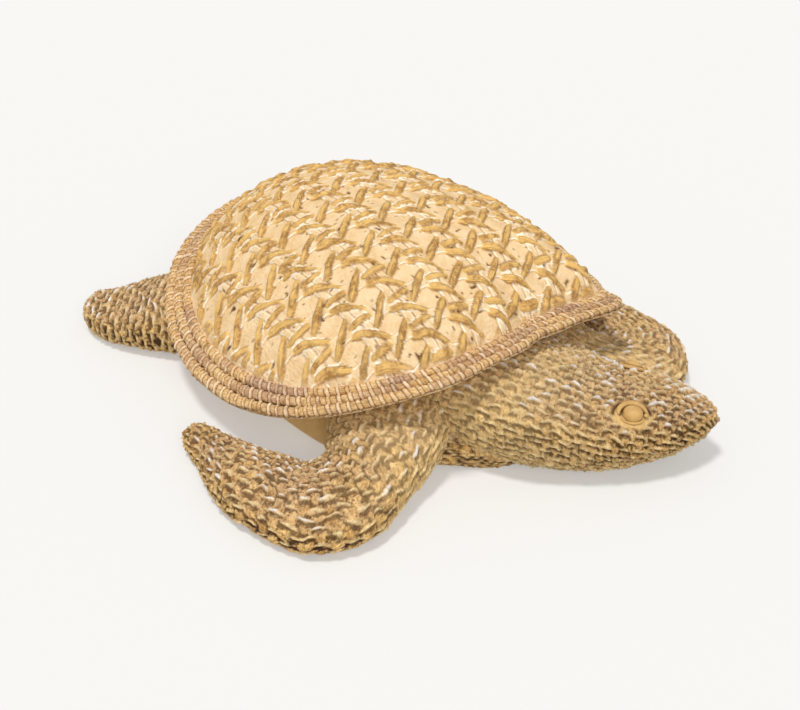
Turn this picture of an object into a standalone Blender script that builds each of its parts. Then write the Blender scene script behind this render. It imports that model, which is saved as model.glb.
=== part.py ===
"""Sea turtle statuette, cast in one piece, with a cane-woven shell and a woven skin.

Blender 4.5, metres, +Z up. The floor is z = 0 and the shell's middle is above the origin.
+X runs towards the shell's front. The head turns towards +Y, the turtle's left.
"""
import bpy
import bmesh
import numpy as np
from math import atan2, cos, degrees, exp, hypot, pi, radians, sin
from mathutils import Vector
from mathutils.geometry import delaunay_2d_cdt

# Size of the figure. Its proportions below are in units, so many to the shell's radius
SHELL_RADIUS = 0.080
RADIUS_UNITS = 80
UNIT = SHELL_RADIUS / RADIUS_UNITS

# Shell: outline in plan, the rim's height round it, and the dome over it
OUTLINE_WAVES = ((0, 1.040), (1, 0.007), (2, 0.0285), (3, -0.014), (4, -0.0123))
OUTLINE_CORNERS = ((30, 9.5, 8), (-24, 3.0, 9), (6, -3.0, 5))
RIM_HEIGHT = 27.6
RIM_FRONT_RISE = 0.073
RIM_SIDE_DROOP = 6.7
RIM_END_LIFT = 9.3
RIM_CURVE_REACH = 70.0
DOME_HEIGHT = 44.7
DOME_ROUNDNESS = 2.22
DOME_EDGE_POWER = 0.744
WALL_SHARE = 0.98
UNDERSIDE_SHARE = 0.72
KEEL_HEIGHT = 20.0

# Brim round the dome, narrower in front, with rows of rope on it
BRIM_WIDTH = 10.8
BRIM_FRONT_LOSS = 3.0
BRIM_RISE = 5.2
ROPE_ROWS = 3
ROPE_RELIEF = 1.1
ROPE_DEPTH = 2.4
RIM_SEGMENTS = 84

# Cane weave: eight-sided openings on a slanting grid, with raised strands between them
CANE_ORIGIN = (46.3, -24.8)
CANE_ALONG = (15.2, -1.1)
CANE_ACROSS = (4.1, 15.3)
CANE_PRESS = 0.11
CANE_ROWS = range(-24, 9)
CANE_FILES = range(-8, 9)
OPENING_HALF_WIDTH = 0.32
OPENING_HALF_SIDE = 0.14
OPENING_FLOOR_SHARE = 0.80
OPENING_DEPTH = 0.0013
STRAND_RELIEF = 0.0013
BAND_RELIEF = 0.0004
CANE_MARGIN = 0.006

# Woven skin: each second point of the skin stands proud of the next
WEAVE_RELIEF = 0.0005

# Rows of a limb: one edge x, y; the other edge x, y; height of the edges; height above; depth below
HEAD = (
    (28, 20, 28, -28, 24, 12, 20), (54, 27, 62, -31, 24, 15, 26), (69, 32, 95, -18, 22, 15, 23),
    (85, 40, 116.5, 4, 18, 14, 19), (100, 49, 127, 22, 16.5, 12.5, 13.5), (113, 53, 131, 35, 16.5, 9.5, 8.5),
    (124, 53, 131.5, 45, 16.5, 5.5, 4), (130, 51.5, 130.5, 51, 16, 0.5, 0.5))
RIGHT_FLIPPER = (
    (22, -36, 59, -7, 20, 9, 18), (38.5, -55.5, 76, -32, 16, 13, 18), (48, -64, 84, -54, 10, 13, 12),
    (51, -69, 91.5, -77.5, 8, 13, 10), (49, -73, 82, -99.5, 6.5, 12.5, 8.5), (43, -74, 54, -107, 6, 11, 8),
    (33, -78, 36, -105.5, 5.5, 10, 7), (17, -82, 18, -99.5, 5.5, 7, 6.5), (5, -84, 4, -95.5, 5.5, 5, 6),
    (0, -89.5, 0, -90.5, 6, 0.5, 0.5))
LEFT_FLIPPER = (
    (26, 44, 54, 0, 20, 9, 18), (44, 56, 78, 19, 16, 12, 18), (52, 56, 98, 44, 10, 12.5, 12),
    (55, 57, 98.5, 66, 8, 11.5, 10), (52, 59, 80, 87, 6.5, 9.5, 8.5), (45, 62, 50, 91, 5.5, 8, 7),
    (26, 67, 26, 88, 5.5, 6, 6.5), (10, 71, 10, 83, 5.5, 4, 6), (6, 76.5, 6, 77.5, 6, 0.5, 0.5))
HIND_FLIPPER = (
    (-21, -41, -51, -15, 15, 14, 16), (-45, -64, -71, -36, 11, 16.5, 13),
    (-61, -75, -84, -46.5, 8.5, 12, 10), (-74, -80, -90, -57, 7.5, 8.5, 9),
    (-86, -80, -94, -66, 7.5, 6.5, 7.5), (-94, -75.5, -94.5, -75, 7.5, 0.5, 0.5))
TAIL = (
    (-50, 10, -50, -10, 12, 8, 13), (-76, 6, -76, -6, 8, 6, 9), (-87, 3.5, -87, -3.5, 5, 4, 6),
    (-92, 0.5, -92, -0.5, 4, 0.5, 0.5))
BELLY = (
    (-70, 4, -70, -4, 12, 4, 4), (-60, 34, -60, -34, 12, 15, 16), (-30, 57, -30, -57, 11, 21, 16),
    (5, 60, 5, -60, 9, 24, 14), (45, 57, 45, -57, 8, 22, 12), (68, 36, 68, -37, 7, 15, 10),
    (83, 14, 83, -19, 6, 9, 9), (90, 4, 90, -8, 6, 3, 3))
SKIN_SQUARENESS = 2.3

# Rings along each limb and sides round it
BELLY_MESH = (15, 18)
HEAD_MESH = (25, 22)
RIGHT_FLIPPER_MESH = (27, 16)
LEFT_FLIPPER_MESH = (25, 16)
HIND_FLIPPER_MESH = (15, 14)
TAIL_MESH = (7, 10)

# Eyes: on the head, by the share of its length and the angle round it from the edge nearer +Y
EYE_ALONG = 0.497
EYE_ANGLES = (130, 50)
EYE_LENGTH = 8.5
EYE_HEIGHT = 6.0
EYE_DEPTH = 4.6
EYE_SLICES = 10
EYE_RINGS = 6
EYE_REACH_ALONG = 0.02
EYE_REACH_ROUND = 5

# Upper lid: a roll over the eye, thinner at its ends, in shares of the eye's own size
LID_SHARE = 1.28
LID_THICKNESS = 0.15
LID_END_SHARE = 0.35
LID_LEVEL = 0.18
LID_STRETCH = 1.4
LID_SLICES = 8
LID_SIDES = 6

# Block under the floor that cuts the underside flat, in shares of the shell's radius
FLOOR_BLOCK_SIDE = 5.0
FLOOR_BLOCK_DEPTH = 0.4

SKIN_COLOUR = (0.62, 0.42, 0.20, 1.0)
SKIN_ROUGHNESS = 0.75


def clear_scene():
    for old in list(bpy.data.objects):
        bpy.data.objects.remove(old)


def new_collection(name):
    made = bpy.data.collections.new(name)
    bpy.context.scene.collection.children.link(made)
    return made


def new_object(name, mesh, collection):
    made = bpy.data.objects.new(name, mesh)
    collection.objects.link(made)
    return made


def resin_material():
    resin = bpy.data.materials.new("straw_resin")
    resin.use_nodes = True
    shader = resin.node_tree.nodes["Principled BSDF"]
    shader.inputs["Base Color"].default_value = SKIN_COLOUR
    shader.inputs["Roughness"].default_value = SKIN_ROUGHNESS
    shader.inputs["Metallic"].default_value = 0.0
    return resin


# Shell surface
def outline_radius(angle):
    """Distance from the shell's middle to its edge in plan, in units."""
    radius = RADIUS_UNITS * sum(size * cos(wave * angle) for wave, size in OUTLINE_WAVES)
    for place, height, width in OUTLINE_CORNERS:
        away = (degrees(angle) - place + 180) % 360 - 180
        radius += height * exp(-((away / width) ** 2))
    return radius


def rim_height(x, y):
    """Height of the shell's edge, or of the plane that the dome rises from, in units."""
    drop = RIM_SIDE_DROOP * (y / RIM_CURVE_REACH) ** 2
    lift = RIM_END_LIFT * (x / RIM_CURVE_REACH) ** 2
    return RIM_HEIGHT + RIM_FRONT_RISE * x - drop + lift


def brim_share(angle):
    """Share of the radius at which the dome meets the brim."""
    width = BRIM_WIDTH - BRIM_FRONT_LOSS * max(0.0, cos(angle)) ** 2
    return 1 - width / outline_radius(angle)


def shell_height(x, y):
    """Height of the brim or of the dome over a place in plan, in units."""
    angle = atan2(y, x)
    share, brim = hypot(x, y) / outline_radius(angle), brim_share(angle)
    if share > brim:
        return rim_height(x, y) + BRIM_RISE * (1 - share) / (1 - brim)
    bulge = (1 - (share / brim) ** DOME_ROUNDNESS) ** DOME_EDGE_POWER
    return rim_height(x, y) + BRIM_RISE + (DOME_HEIGHT - BRIM_RISE) * bulge


def shell_ring(share_at, lift):
    """A ring of points round the shell, each lifted off the surface or off the rim's height."""
    ring = []
    for angle in rim_angles():
        radius = share_at(angle) * outline_radius(angle)
        ring.append(Vector((radius * cos(angle), radius * sin(angle), 0)))
    return [point + Vector((0, 0, lift(point.x, point.y))) for point in ring]


def rim_rings():
    """Rings of the rope rim from its inner edge outwards, round its side and under it."""
    rings = []
    for k in range(2 * ROPE_ROWS, -1, -1):
        inward = k / (2 * ROPE_ROWS)
        relief = ROPE_RELIEF if k % 2 else 0.0
        rings.append(shell_ring(lambda angle: 1 - inward * (1 - brim_share(angle)),
                                lambda x, y: shell_height(x, y) + relief))
    inward = 1 / (2 * ROPE_ROWS)
    rings.append(shell_ring(lambda angle: 1 - inward * (1 - brim_share(angle)),
                            lambda x, y: rim_height(x, y) - ROPE_DEPTH))
    rings.append(shell_ring(lambda angle: UNDERSIDE_SHARE, lambda x, y: rim_height(x, y) - ROPE_DEPTH / 2))
    return rings


def rim_angles():
    return [2 * pi * k / RIM_SEGMENTS for k in range(RIM_SEGMENTS)]


def cane_points():
    """Points and edges in plan of the cane weave, each point with its relief, in units."""
    along, across = Vector(CANE_ALONG), Vector(CANE_ACROSS)
    points, edges, index = [], [], {}

    def place(u, v):
        flat = Vector(CANE_ORIGIN) + along * u + across * v
        return flat / (1 + CANE_PRESS * flat.length_squared / RADIUS_UNITS**2)

    def add(u, v, relief):
        key = (round(u, 4), round(v, 4), relief < 0)
        if key not in index:
            index[key] = len(points)
            points.append((place(u, v), relief))
        return index[key]

    def inside(u, v):
        x, y = place(u, v)
        angle = atan2(y, x)
        return hypot(x, y) < (brim_share(angle) * WALL_SHARE - CANE_MARGIN) * outline_radius(angle)

    half, side = OPENING_HALF_WIDTH, OPENING_HALF_SIDE
    corners = [(half, -side), (half, side), (side, half), (-side, half)]
    corners += [(-u, -v) for u, v in corners]
    strand, band = STRAND_RELIEF / UNIT, BAND_RELIEF / UNIT
    for i in CANE_ROWS:
        for j in CANE_FILES:
            if all(inside(i + u, j + v) for u, v in corners):
                for share, relief in ((1.0, band), (OPENING_FLOOR_SHARE, -OPENING_DEPTH / UNIT)):
                    ring = [add(i + share * u, j + share * v, relief) for u, v in corners]
                    edges += [(ring[k - 1], ring[k]) for k in range(len(ring))]
            if inside(i + 0.5, j + 0.5):
                add(i + 0.5, j + 0.5, band)
            for du, dv in ((0.5, 0.5), (0.5, -0.5), (-0.5, 0.5), (-0.5, -0.5)):
                ends = ((i + du, j), (i, j + dv))
                if all(inside(*end) for end in ends):
                    edges.append(tuple(add(*end, strand) for end in ends))
    return points, edges


def shell_mesh():
    """The closed shell: cane dome, rope rim and underside."""
    wall = shell_ring(lambda angle: WALL_SHARE * brim_share(angle), shell_height)
    rings = rim_rings()
    cane, cane_edges = cane_points()
    flat = [point for point, relief in cane] + [point.to_2d() for point in wall + rings[0]]
    first, rim = len(cane), len(cane) + RIM_SEGMENTS
    wall_edges = [(k - 1 if k > first else rim - 1, k) for k in range(first, rim)]
    ring_face = list(range(rim, len(flat)))
    edges = cane_edges + wall_edges
    corners, _, triangles, sources, _, _ = delaunay_2d_cdt(flat, edges, [ring_face], 1, 1e-4)
    bm = bmesh.new()
    verts, named = [], {}
    for point, source in zip(corners, sources):
        relief = cane[source[0]][1] if source and source[0] < first else 0.0
        verts.append(bm.verts.new((point.x, point.y, shell_height(*point) + relief)))
        named.update((k, verts[-1]) for k in source)
    for triangle in triangles:
        bm.faces.new([verts[k] for k in triangle])
    loops = [[named[k] for k in ring_face]]
    loops += [[bm.verts.new(point) for point in ring] for ring in rings[1:]]
    for inner, outer in zip(loops, loops[1:]):
        for k in range(RIM_SEGMENTS):
            bm.faces.new((inner[k - 1], inner[k], outer[k], outer[k - 1]))
    keel = bm.verts.new((0, 0, KEEL_HEIGHT))
    for k in range(RIM_SEGMENTS):
        bm.faces.new((loops[-1][k - 1], loops[-1][k], keel))
    return finish_mesh(bm, "shell")


def finish_mesh(bm, name):
    """Scales the figure's units to metres, turns its faces outwards and makes the mesh."""
    bmesh.ops.scale(bm, vec=(UNIT, UNIT, UNIT), verts=bm.verts)
    bmesh.ops.recalc_face_normals(bm, faces=bm.faces)
    bmesh.ops.triangulate(bm, faces=bm.faces)
    mesh = bpy.data.meshes.new(name)
    bm.to_mesh(mesh)
    bm.free()
    return mesh


# Limbs: lofts between rows of unlike sections
def row_at(rows, share):
    """The row at a share of the way along, by a smooth curve through the given rows."""
    rows = np.array(rows, float)
    place = share * (len(rows) - 1)
    k = min(int(place), len(rows) - 2)
    t = place - k
    near, far = rows[k], rows[k + 1]
    before = rows[k - 1] if k else 2 * near - far
    after = rows[k + 2] if k + 2 < len(rows) else 2 * far - near
    slope_in, slope_out = 0.5 * (far - before), 0.5 * (after - near)
    return ((2 * t**3 - 3 * t**2 + 1) * near + (t**3 - 2 * t**2 + t) * slope_in
            + (3 * t**2 - 2 * t**3) * far + (t**3 - t**2) * slope_out)


def skin_point(rows, share, angle, relief=0.0):
    """A point on a limb: angle 0 is its first edge, 90 degrees its top."""
    x0, y0, x1, y1, z, above, below = row_at(rows, share)
    middle = Vector(((x0 + x1) / 2, (y0 + y1) / 2, z))
    half = Vector(((x0 - x1) / 2, (y0 - y1) / 2, 0))
    power = 2 / SKIN_SQUARENESS
    across = abs(cos(angle)) ** power * (1 if cos(angle) >= 0 else -1)
    up = abs(sin(angle)) ** power * (1 if sin(angle) >= 0 else -1)
    height = above if up >= 0 else below
    proud = half.normalized() * cos(angle) + Vector((0, 0, sin(angle)))
    return middle + half * across + Vector((0, 0, height * up)) + proud * relief


def limb_mesh(name, rows, mesh_size, relief=WEAVE_RELIEF):
    """A closed loft with a dimple and a bump in turn over its skin."""
    rings, sides = mesh_size
    bm = bmesh.new()
    loops = []
    for i in range(rings):
        share = i / (rings - 1)
        weave = relief / UNIT if 0 < i < rings - 1 else 0.0
        loops.append([bm.verts.new(skin_point(rows, share, 2 * pi * j / sides, weave * (-1) ** (i + j)))
                      for j in range(sides)])
    for one, two in zip(loops, loops[1:]):
        for j in range(sides):
            bm.faces.new((one[j - 1], one[j], two[j], two[j - 1]))
    bm.faces.new(loops[0])
    bm.faces.new(loops[-1])
    return finish_mesh(bm, name)


def mirrored(rows):
    return tuple((x1, -y1, x0, -y0, z, above, below) for x0, y0, x1, y1, z, above, below in rows)


def eye_axes(angle):
    """Middle of an eye on the head, and the directions ahead, above and out of it."""
    around = angle + (EYE_REACH_ROUND if angle < 90 else -EYE_REACH_ROUND)
    centre, beside = (skin_point(HEAD, EYE_ALONG, radians(a)) for a in (angle, around))
    before, behind = (skin_point(HEAD, EYE_ALONG + reach, radians(angle))
                      for reach in (EYE_REACH_ALONG, -EYE_REACH_ALONG))
    ahead = (before - behind).normalized()
    out = ahead.cross(beside - centre).normalized()
    if out.z < 0:
        out.negate()
    return centre, ahead, out.cross(ahead).normalized(), out


def eye_meshes():
    """Each eyeball, set in the side of the head with the upper lid's roll over it."""
    made = []
    for number, angle in enumerate(EYE_ANGLES):
        centre, ahead, above, out = eye_axes(angle)
        for part, share in (("eyeball", 1.0), ("lid", LID_SHARE)):
            bm = bmesh.new()
            if part == "eyeball":
                bmesh.ops.create_uvsphere(bm, u_segments=EYE_SLICES, v_segments=EYE_RINGS, radius=0.5)
            else:
                make_lid(bm)
            for vert in bm.verts:
                x, y, z = vert.co
                vert.co = (centre + ahead * (x * EYE_LENGTH * share) + above * (y * EYE_HEIGHT * share)
                           + out * (z * EYE_DEPTH))
            made.append(finish_mesh(bm, f"{part}_{number}"))
    return made


def make_lid(bm):
    """Half a ring over the eye, round in section, in shares of the eye's own size."""
    loops = []
    for i in range(LID_SLICES + 1):
        turn = pi * i / LID_SLICES
        middle = Vector((0.5 * cos(turn), 0.5 * sin(turn), LID_LEVEL))
        radial = Vector((cos(turn), sin(turn), 0))
        size = LID_THICKNESS * (LID_END_SHARE + (1 - LID_END_SHARE) * sin(turn))
        loop = []
        for a in (2 * pi * k / LID_SIDES for k in range(LID_SIDES)):
            rise = Vector((0, 0, LID_STRETCH * size * sin(a)))
            loop.append(bm.verts.new(middle + radial * (size * cos(a)) + rise))
        loops.append(loop)
    for one, two in zip(loops, loops[1:]):
        for j in range(LID_SIDES):
            bm.faces.new((one[j - 1], one[j], two[j], two[j - 1]))
    bm.faces.new(loops[0])
    bm.faces.new(loops[-1])


def floor_block(collection):
    """Block under the floor, which cuts the underside flat."""
    side, depth = FLOOR_BLOCK_SIDE * SHELL_RADIUS, FLOOR_BLOCK_DEPTH * SHELL_RADIUS
    bm = bmesh.new()
    bmesh.ops.create_cube(bm, size=1.0)
    bmesh.ops.scale(bm, vec=(side, side, depth), verts=bm.verts)
    bmesh.ops.translate(bm, vec=(0, 0, -depth / 2), verts=bm.verts)
    mesh = bpy.data.meshes.new("floor_block")
    bm.to_mesh(mesh)
    bm.free()
    return new_object("floor_block", mesh, collection)


def hide_cutter(cutter):
    cutter.hide_render = True
    cutter.display_type = "WIRE"


def join(turtle, piece, operation, solver="EXACT"):
    hide_cutter(piece)
    boolean = turtle.modifiers.new(f"{operation.lower()}_{piece.name}", "BOOLEAN")
    boolean.operation = operation
    boolean.object = piece
    boolean.solver = solver


def main():
    clear_scene()
    statuette = new_collection("turtle_statuette")
    cutters = new_collection("joined_forms")
    turtle = new_object("turtle", shell_mesh(), statuette)
    turtle.data.materials.append(resin_material())
    forms = [
        limb_mesh("belly", BELLY, BELLY_MESH, 0.0),
        limb_mesh("head", HEAD, HEAD_MESH),
        limb_mesh("right_flipper", RIGHT_FLIPPER, RIGHT_FLIPPER_MESH),
        limb_mesh("left_flipper", LEFT_FLIPPER, LEFT_FLIPPER_MESH),
        limb_mesh("right_hind_flipper", HIND_FLIPPER, HIND_FLIPPER_MESH),
        limb_mesh("left_hind_flipper", mirrored(HIND_FLIPPER), HIND_FLIPPER_MESH),
        limb_mesh("tail", TAIL, TAIL_MESH),
    ] + eye_meshes()
    for mesh in forms:
        join(turtle, new_object(mesh.name, mesh, cutters), "UNION")
    join(turtle, floor_block(cutters), "DIFFERENCE", "MANIFOLD")


main()
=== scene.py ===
"""Looks of the sea turtle statuette: cane-woven shell, rope rim, woven skin and eyes.

Metres, +Z up. Every piece is a closed mesh shaped from a primitive, in the frame of the CAD part.
"""
from itertools import product
from math import cos, hypot, pi, radians, sin

import bpy
import numpy as np
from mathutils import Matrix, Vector


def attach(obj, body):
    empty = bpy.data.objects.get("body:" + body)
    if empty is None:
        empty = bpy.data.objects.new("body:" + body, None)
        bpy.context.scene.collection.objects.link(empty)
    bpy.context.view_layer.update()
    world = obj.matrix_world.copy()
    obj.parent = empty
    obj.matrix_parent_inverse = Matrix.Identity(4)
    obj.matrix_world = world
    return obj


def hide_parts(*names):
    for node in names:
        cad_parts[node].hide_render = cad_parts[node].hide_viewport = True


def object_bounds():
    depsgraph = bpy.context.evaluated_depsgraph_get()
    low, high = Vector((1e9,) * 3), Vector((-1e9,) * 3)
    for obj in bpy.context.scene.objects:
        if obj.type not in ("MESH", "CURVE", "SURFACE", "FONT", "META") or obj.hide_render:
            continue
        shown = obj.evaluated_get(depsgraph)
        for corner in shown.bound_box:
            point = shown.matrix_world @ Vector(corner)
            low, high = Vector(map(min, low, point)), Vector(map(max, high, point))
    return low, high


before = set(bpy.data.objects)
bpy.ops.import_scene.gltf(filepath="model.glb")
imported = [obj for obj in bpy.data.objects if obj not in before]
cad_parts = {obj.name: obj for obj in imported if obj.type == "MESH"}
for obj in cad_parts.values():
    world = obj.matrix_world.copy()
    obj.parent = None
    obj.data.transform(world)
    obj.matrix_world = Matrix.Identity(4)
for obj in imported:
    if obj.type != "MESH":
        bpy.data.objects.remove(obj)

cad_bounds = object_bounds()
bpy.ops.object.select_all(action="DESELECT")

# The figure's measures are in millimetres until a piece is finished
UNIT = 0.001
# Room left between the pieces and the sides of the CAD's box, in metres
MARGIN = np.array((0.00002, 0.00002, 0.0))
RADIUS = 80.0
NODE = "turtle"

# Shell: outline in plan, the rim's height round it, and the dome over it
OUTLINE_WAVES = ((0, 1.040), (1, 0.007), (2, 0.0285), (3, -0.014), (4, -0.0123))
OUTLINE_CORNERS = ((30, 9.5, 8), (-24, 3.0, 9), (6, -3.0, 5))
RIM_HEIGHT = 27.6
RIM_FRONT_RISE = 0.073
RIM_SIDE_DROOP = 6.7
RIM_END_LIFT = 9.3
RIM_CURVE_REACH = 70.0
DOME_HEIGHT = 44.7
DOME_ROUNDNESS = 2.22
DOME_EDGE_POWER = 0.744
DOME_CELLS = 300
DOME_MEAN_RADIUS = 1.04
DOME_OVERLAP = 0.6
RING_STEP = 0.1

# Brim round the dome, narrower in front, with rows of rope on it
BRIM_WIDTH = 10.8
BRIM_FRONT_LOSS = 3.0
BRIM_RISE = 5.2
ROPE_ROWS = 3
ROPE_WRAP = 4.1
ROPE_HEIGHT = 1.62
ROPE_SINK = 0.55
ROPE_OVERLAP = 1.12
ROPE_WANDER = 0.022

# A torus has at most 256 segments, so each is cut three times more
ROPE_SEGMENTS = (256, 5)
ROPE_CUTS = 3

# Rings under the brim: brim widths in from the edge, and height over the rim
UNDER_RINGS = (
    (0.90, 3.6), (0.14, -0.4), (0.09, -1.9), (0.30, -2.7), (0.80, -1.6), (2.0, -2.5), (5.0, -6.0))

# Cane weave: a slanting grid pressed over the dome
CANE_ORIGIN = (46.3, -24.8)
CANE_ALONG = (15.2, -1.1)
CANE_ACROSS = (4.1, 15.3)
CANE_PRESS = 0.11
CANE_RELIEF = 0.97
OPENING_SIZE = 0.33
OPENING_DEPTH = 0.75

# The flat pair of straws between the openings: place of each beside the middle, half width and height
FLAT_PLACE, FLAT_HALF, FLAT_HEIGHT = 1.35, 1.2, 0.50

# Round strands: greatest half width and least share of it; lowest height, what it swells by, and how fast
UPRIGHT_STRAND = (1.75, 0.72, -1.3, 2.7, 0.7)
STEEP_STRAND = (1.45, 0.62, -0.35, 1.75, 0.7)
ARCHED_STRAND = (1.55, 0.55, -0.85, 2.3, 0.8)
STRAND_ROUNDNESS = 0.85
STRAND_SIDE_SLOPE = 2.2

# Rows of a limb: one edge x, y; the other edge x, y; height of the edges; height above; depth below
HEAD = (
    (28, 20, 28, -28, 24, 12, 20), (54, 27, 62, -31, 24, 16.5, 26), (69, 32, 95, -18, 22, 17.2, 23),
    (85, 40, 116.5, 4, 18, 14, 19), (100, 49, 127, 22, 16.5, 12.5, 13.5), (113, 53, 131, 35, 16.5, 9.5, 8.5),
    (124, 53, 131.5, 45, 16.5, 5.5, 4), (130, 51.5, 130.5, 51, 16, 0.5, 0.5))
RIGHT_FLIPPER = (
    (22, -36, 59, -7, 20, 9, 18), (38.5, -55.5, 76, -32, 16, 13, 18), (48, -64, 84, -54, 10, 13, 12),
    (51, -69, 91.5, -77.5, 8, 13, 10), (49, -73, 82, -99.5, 6.5, 12.5, 8.5), (43, -74, 54, -107, 6, 11, 8),
    (33, -78, 36, -105.5, 5.5, 10, 7), (17, -82, 18, -99.5, 5.5, 7, 6.5), (5, -84, 4, -95.5, 5.5, 5, 6),
    (0, -89.5, 0, -90.5, 6, 0.5, 0.5))
LEFT_FLIPPER = (
    (26, 44, 54, 0, 20, 9, 18), (44, 56, 78, 19, 16, 12, 18), (52, 56, 98, 44, 10, 12.5, 12),
    (55, 57, 98.5, 66, 8, 11.5, 10), (52, 59, 80, 87, 6.5, 9.5, 8.5), (45, 62, 50, 91, 5.5, 8, 7),
    (26, 67, 26, 88, 5.5, 6, 6.5), (10, 71, 10, 83, 5.5, 4, 6), (6, 76.5, 6, 77.5, 6, 0.5, 0.5))
HIND_FLIPPER = (
    (-21, -41, -51, -15, 15, 14, 16), (-45, -64, -71, -36, 11, 16.5, 13),
    (-61, -75, -84, -46.5, 8.5, 12, 10), (-74, -80, -90, -57, 7.5, 8.5, 9),
    (-86, -80, -94, -66, 7.5, 6.5, 7.5), (-94, -75.5, -94.5, -75, 7.5, 0.5, 0.5))
TAIL = (
    (-50, 10, -50, -10, 12, 8, 13), (-76, 6, -76, -6, 8, 6, 9), (-87, 3.5, -87, -3.5, 5, 4, 6),
    (-92, 0.5, -92, -0.5, 4, 0.5, 0.5))
BELLY = (
    (-70, 4, -70, -4, 12, 4, 4), (-60, 34, -60, -34, 12, 15, 16), (-30, 57, -30, -57, 11, 21, 16),
    (5, 60, 5, -60, 9, 24, 14), (45, 57, 45, -57, 8, 22, 12), (68, 36, 68, -37, 7, 15, 10),
    (83, 14, 83, -19, 6, 9, 9), (90, 4, 90, -8, 6, 3, 3))
SQUARENESS = 2.3
TOP_DENSITY = 0.35

# The skin's weave, in cells, and the height in it that lies on the limb's own surface
DASH_HALF, DASH_HEIGHT, DASH_SAG = 0.19, 1.05, 0.24
CREVICE_PLACE, CREVICE_HALF, CREVICE_DEPTH = 0.37, 0.13, 0.38
PUFF_BASE, PUFF_HEIGHT = 0.12, 0.54
SURFACE_LEVEL = 0.78

# Eyes: share of the head's length, then for each its angle round the head from the edge nearer +Y, and how
# far it is sunk. The steps along and round the head give the directions of the eye's face.
EYE_ALONG = 0.497
EYES = (("left_eye", 41, 0.5), ("right_eye", 130, 0.0))
EYE_STEP_ALONG, EYE_STEP_ROUND = 0.02, 5
EYE_BALL = (3.9, 3.2, 2.9)
EYE_BALL_DEPTH = 0.3
BEAD_SIZE, BEAD_PLACE = (0.9, 0.8, 0.9), (4.6, -1.0, 0.5)

# Lids: half length, half height, thickness, how far out, start and end in degrees, 1 for dark paint and
# painted shade below
EYE_LIDS = (
    ("upper_lid", 5.1, 4.3, 1.05, -0.25, 2, 186, 1.0), ("lower_lid", 4.9, 3.6, 0.50, -0.55, 200, 335, 0.0))
LID_RINGS, LID_SIDES = 60, 14

# Light: direction, energy, and the width of the sun in degrees
LAMPS = (("key", (-0.03, 0.24, -0.97), 2.0, 10), ("fill", (-0.72, 0.36, -0.58), 0.85, 30))
SKY_COLOUR, SKY_STRENGTH = (1.0, 0.995, 0.98, 1.0), 0.48
FLOOR_SIZE, FLOOR_COLOUR = 6.0, (184, 183, 181)
FLOOR_GLOW, FLOOR_GLOW_STRENGTH = (0.995, 0.99, 0.97, 1.0), 0.342

# Camera: where it looks, from which side and how high, how far away, in metres and millimetres of lens
CAMERA_TARGET = (0.026282, -0.011178, 0.018)
CAMERA_AZIMUTH, CAMERA_ELEVATION, CAMERA_DISTANCE = 50, 33.738, 0.708
CAMERA_LENS, CAMERA_SENSOR = 85, 36


# Noise over space
def lattice_random(places, seed):
    """A steady random value from -1 to 1 for each whole-numbered place."""
    mixed = places[..., 0] * 374761393 + places[..., 1] * 668265263 + places[..., 2] * 144665 + seed * 97531
    mixed = mixed & 0xFFFFFFFF
    mixed = ((mixed ^ (mixed >> 13)) * 1274126177) & 0xFFFFFFFF
    mixed = mixed ^ (mixed >> 16)
    return (mixed & 0xFFFF) / 32767.5 - 1.0


def cells(one, two):
    """Whole-numbered places from two whole numbers each."""
    return np.stack(np.broadcast_arrays(one, two, 0 * one), axis=-1).astype(np.int64)


def noise(points, size, seed):
    """Smooth noise from -1 to 1, with blobs of the given size in each direction."""
    q = np.asarray(points, float) / size
    base = np.floor(q).astype(np.int64)
    f = q - base
    f = f * f * (3 - 2 * f)
    total = np.zeros(q.shape[:-1])
    for corner in product((0, 1), repeat=3):
        weight = np.prod([f[..., k] if corner[k] else 1 - f[..., k] for k in range(3)], axis=0)
        total += weight * lattice_random(base + np.array(corner), seed)
    return total


def stacked(*values):
    return np.stack(np.broadcast_arrays(*values), axis=-1)


def smoothstep(low, high, value):
    t = np.clip((value - low) / (high - low), 0, 1)
    return t * t * (3 - 2 * t)


# Shell surface
def outline_radius(angle):
    radius = RADIUS * sum(size * np.cos(wave * angle) for wave, size in OUTLINE_WAVES)
    for place, height, width in OUTLINE_CORNERS:
        away = (np.degrees(angle) - place + 180) % 360 - 180
        radius = radius + height * np.exp(-((away / width) ** 2))
    return radius


def rim_height(x, y):
    drop = RIM_SIDE_DROOP * (y / RIM_CURVE_REACH) ** 2
    lift = RIM_END_LIFT * (x / RIM_CURVE_REACH) ** 2
    return RIM_HEIGHT + RIM_FRONT_RISE * x - drop + lift


def brim_width(angle):
    return BRIM_WIDTH - BRIM_FRONT_LOSS * np.clip(np.cos(angle), 0, 1) ** 2


def shell_height(x, y):
    """Height of the brim or of the dome over places in plan."""
    angle = np.arctan2(y, x)
    radius = outline_radius(angle)
    share, brim = np.hypot(x, y) / radius, 1 - brim_width(angle) / radius
    bulge = np.clip(1 - (share / brim) ** DOME_ROUNDNESS, 0, 1) ** DOME_EDGE_POWER
    rise = np.where(share > brim, BRIM_RISE * (1 - share) / (1 - brim),
                    BRIM_RISE + (DOME_HEIGHT - BRIM_RISE) * bulge)
    return rim_height(x, y) + rise


def brim_place(angle, inward):
    """Place in plan so many brim widths in from the shell's edge."""
    radius = outline_radius(angle) - inward * brim_width(angle)
    return radius * np.cos(angle), radius * np.sin(angle)


def brim_point(angle, inward):
    x, y = brim_place(angle, inward)
    return stacked(x, y, shell_height(x, y))


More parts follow.
